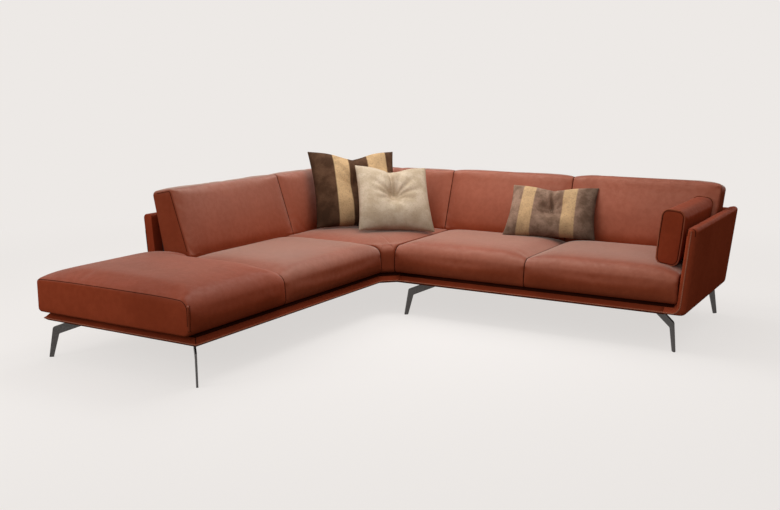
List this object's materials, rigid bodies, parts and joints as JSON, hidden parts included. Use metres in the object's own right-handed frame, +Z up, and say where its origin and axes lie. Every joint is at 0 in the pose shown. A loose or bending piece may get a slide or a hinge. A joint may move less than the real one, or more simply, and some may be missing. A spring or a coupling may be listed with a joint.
{
  "type": "sectional sofa",
  "caption": "Leather corner sofa with an open ottoman end, a low arm with a loose bolster, blade legs and scatter cushions; its right section pulls off its left one.",
  "frame": {"origin": "middle of the plan's box, on the floor", "axes": "+X along the right wing towards the arm, +Y towards the back of the right wing, +Z up"},
  "size_m": [2.9124, 2.8412, 0.9398],
  "materials": {
    "leather": "satin cognac leather",
    "striped_velvet": "taupe velvet with two golden beige bands",
    "beige_velvet": "beige velvet",
    "leg_steel": "dark gunmetal, satin",
    "glide_plastic": "matte",
    "fitting_steel": "zinc plated",
    "timber": "planed beech",
    "plywood": "sanded plywood",
    "webbing": "elastic webbing",
    "lining": "black lining cloth"
  },
  "bodies": {
    "left_section": {"left_front_rail": "timber", "left_rear_rail": "timber", "corner_rear_rail": "timber", "left_end_rail": "timber", "left_joint_rail": "timber", "left_cross_rails": "timber", "left_corner_blocks": "timber", "left_webbing": "webbing", "left_bottom_lining": "lining", "left_front_border": "leather", "left_end_border": "leather", "left_rear_border": "leather", "left_back_shell": "leather", "corner_back_shell": "leather", "left_back_panel": "plywood", "corner_back_panel": "plywood", "left_back_posts": "timber", "ottoman_cushion": "leather", "left_seat_cushion": "leather", "corner_seat_cushion": "leather", "left_back_cushion": "leather", "corner_back_cushion_left": "leather", "corner_back_cushion_right": "leather", "ottoman_front_leg": "leg_steel", "ottoman_rear_leg": "leg_steel", "corner_rear_leg": "leg_steel", "left_joint_leg": "leg_steel", "left_leg_bolts": "fitting_steel", "left_glides": "glide_plastic", "joint_receivers": "fitting_steel"},
    "right_section": {"right_front_rail": "timber", "right_rear_rail": "timber", "right_end_rail": "timber", "right_joint_rail": "timber", "right_cross_rails": "timber", "right_corner_blocks": "timber", "right_webbing": "webbing", "right_bottom_lining": "lining", "right_front_border": "leather", "right_back_shell": "leather", "arm_shell": "leather", "right_back_panel": "plywood", "arm_panel": "plywood", "right_back_posts": "timber", "right_seat_cushion_inner": "leather", "right_seat_cushion_outer": "leather", "right_back_cushion_inner": "leather", "right_back_cushion_outer": "leather", "right_joint_front_leg": "leg_steel", "right_joint_rear_leg": "leg_steel", "arm_front_leg": "leg_steel", "arm_rear_leg": "leg_steel", "right_leg_bolts": "fitting_steel", "right_glides": "glide_plastic", "joint_tongues": "fitting_steel"},
    "arm_bolster": {"arm_bolster": "leather"},
    "pillow_large": {"pillow_large": "striped_velvet"},
    "pillow_beige": {"pillow_beige": "beige_velvet"},
    "pillow_lumbar": {"pillow_lumbar": "striped_velvet"}
  },
  "joints": [
    {"name": "right_section_slide", "type": "slide", "parent": "left_section", "child": "right_section", "axis": [1, 0, 0], "range_m": [0, 0.3]},
    {"name": "arm_bolster_lift", "type": "slide", "parent": "right_section", "child": "arm_bolster", "axis": [0.0906, 0, 0.9959], "range_m": [0, 0.35]},
    {"name": "pillow_large_lift", "type": "slide", "parent": "left_section", "child": "pillow_large", "axis": [-0.3954, 0.3954, 0.829], "range_m": [0, 0.35]},
    {"name": "pillow_beige_lift", "type": "slide", "parent": "left_section", "child": "pillow_beige", "axis": [0.1125, -0.1087, 0.9877], "range_m": [0, 0.35]},
    {"name": "pillow_lumbar_lift", "type": "slide", "parent": "right_section", "child": "pillow_lumbar", "axis": [0.0312, -0.1969, 0.9799], "range_m": [0, 0.35]}
  ]
}
